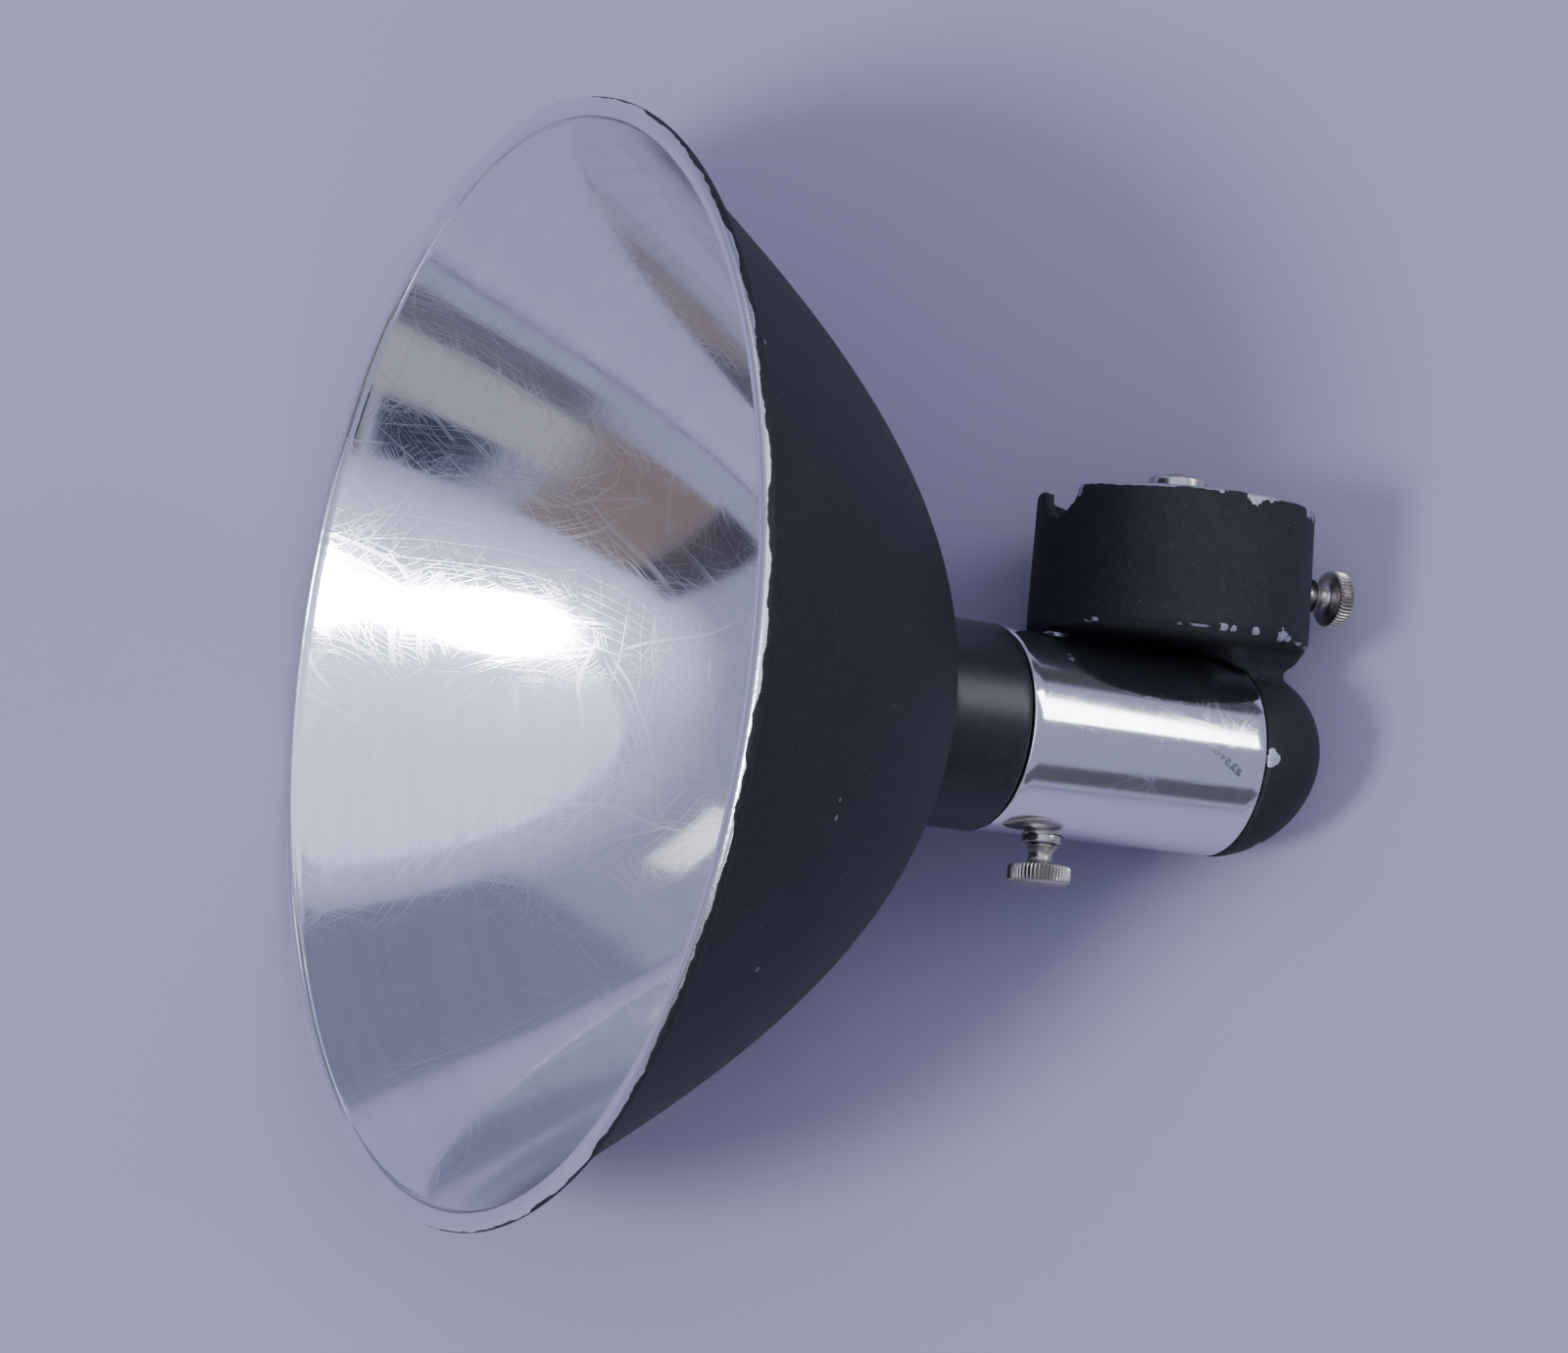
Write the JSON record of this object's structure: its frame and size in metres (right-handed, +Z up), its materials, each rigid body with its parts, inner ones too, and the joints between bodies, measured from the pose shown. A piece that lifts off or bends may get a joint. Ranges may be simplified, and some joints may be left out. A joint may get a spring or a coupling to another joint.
{
  "type": "flashbulb reflector head",
  "caption": "Flashbulb gun head: spun bowl reflector on a telescoping neck and polished barrel, with a cast collar that clamps over a battery case.",
  "frame": {"origin": "centre of the bounding box in plan, on the surface the head lies on", "axes": "+Z up from the surface; the bowl opens toward -X and upward, and the collar opens toward +Y; the head rests on the bowl lip, the housing dome and the collar"},
  "size_m": [0.1798, 0.1778, 0.1563],
  "materials": {
    "polished_aluminium": "polished, spun",
    "bright_barrel": "polished",
    "black_wrinkle_enamel": "fine wrinkle, chipped at the edges",
    "black_satin": "satin",
    "nickel": "nickel plated",
    "steel": "plain",
    "brass": "turned",
    "moulded_phenolic": "satin moulding",
    "lead_red": "matt",
    "lead_black": "matt",
    "spring_steel": "drawn wire"
  },
  "bodies": {
    "housing": {"barrel": "bright_barrel", "barrel_fixing_screw_1": "steel", "barrel_fixing_screw_2": "steel", "barrel_screw_bush": "nickel", "centre_terminal": "brass", "contact_spring": "spring_steel", "disc_screw_1": "steel", "disc_screw_2": "steel", "disc_screw_3": "steel", "guide_pin": "steel", "lead_centre": "lead_red", "lead_shell": "lead_black", "plug_disc": "moulded_phenolic", "plug_insulator": "moulded_phenolic", "plug_nut": "brass", "plug_pin": "brass", "plug_shell": "nickel", "rear_housing": "black_wrinkle_enamel", "socket_holder": "moulded_phenolic", "socket_insulator": "moulded_phenolic", "socket_set_screw": "steel", "socket_shell": "nickel"},
    "reflector": {"reflector_bowl": "polished_aluminium", "reflector_neck": "black_satin", "bowl_ring_nut": "brass"},
    "barrel_pad": {"barrel_pressure_pad": "brass"},
    "barrel_screw": {"barrel_thumb_screw": "nickel"},
    "collar_pad": {"collar_pressure_pad": "brass"},
    "collar_screw": {"collar_thumb_screw": "nickel"},
    "contact": {"centre_contact": "brass"}
  },
  "joints": [
    {"name": "focus_slide", "type": "slide", "parent": "housing", "child": "reflector", "axis": [-0.8765, 0.026, 0.4807], "range_m": [0, 0.015]},
    {"name": "barrel_pad_travel", "type": "slide", "parent": "housing", "child": "barrel_pad", "axis": [-0.0746, -0.9938, -0.0822], "range_m": [0, 0.0016]},
    {"name": "barrel_screw_turn", "type": "hinge", "parent": "barrel_pad", "child": "barrel_screw", "pos_m": [0.03679, -0.0224, 0.03], "axis": [-0.0746, -0.9938, -0.0822], "range_deg": [0, 720]},
    {"name": "collar_pad_travel", "type": "slide", "parent": "housing", "child": "collar_pad", "axis": [0.8765, -0.026, -0.4807], "range_m": [-0.0024, 0]},
    {"name": "collar_screw_turn", "type": "hinge", "parent": "collar_pad", "child": "collar_screw", "pos_m": [0.08073, 0.0257, 0.01202], "axis": [0.8765, -0.026, -0.4807], "range_deg": [-1080, 0]},
    {"name": "contact_press", "type": "slide", "parent": "housing", "child": "contact", "axis": [0.8765, -0.026, -0.4807], "range_m": [0, 0.002], "stiffness_N_per_m": 400, "springref_m": -0.002, "deforming": ["contact_spring"]}
  ],
  "couplings": [
    {"joint": "barrel_screw_turn", "follows": "barrel_pad_travel", "rad_per_m": 7854},
    {"joint": "collar_screw_turn", "follows": "collar_pad_travel", "rad_per_m": 7854}
  ]
}
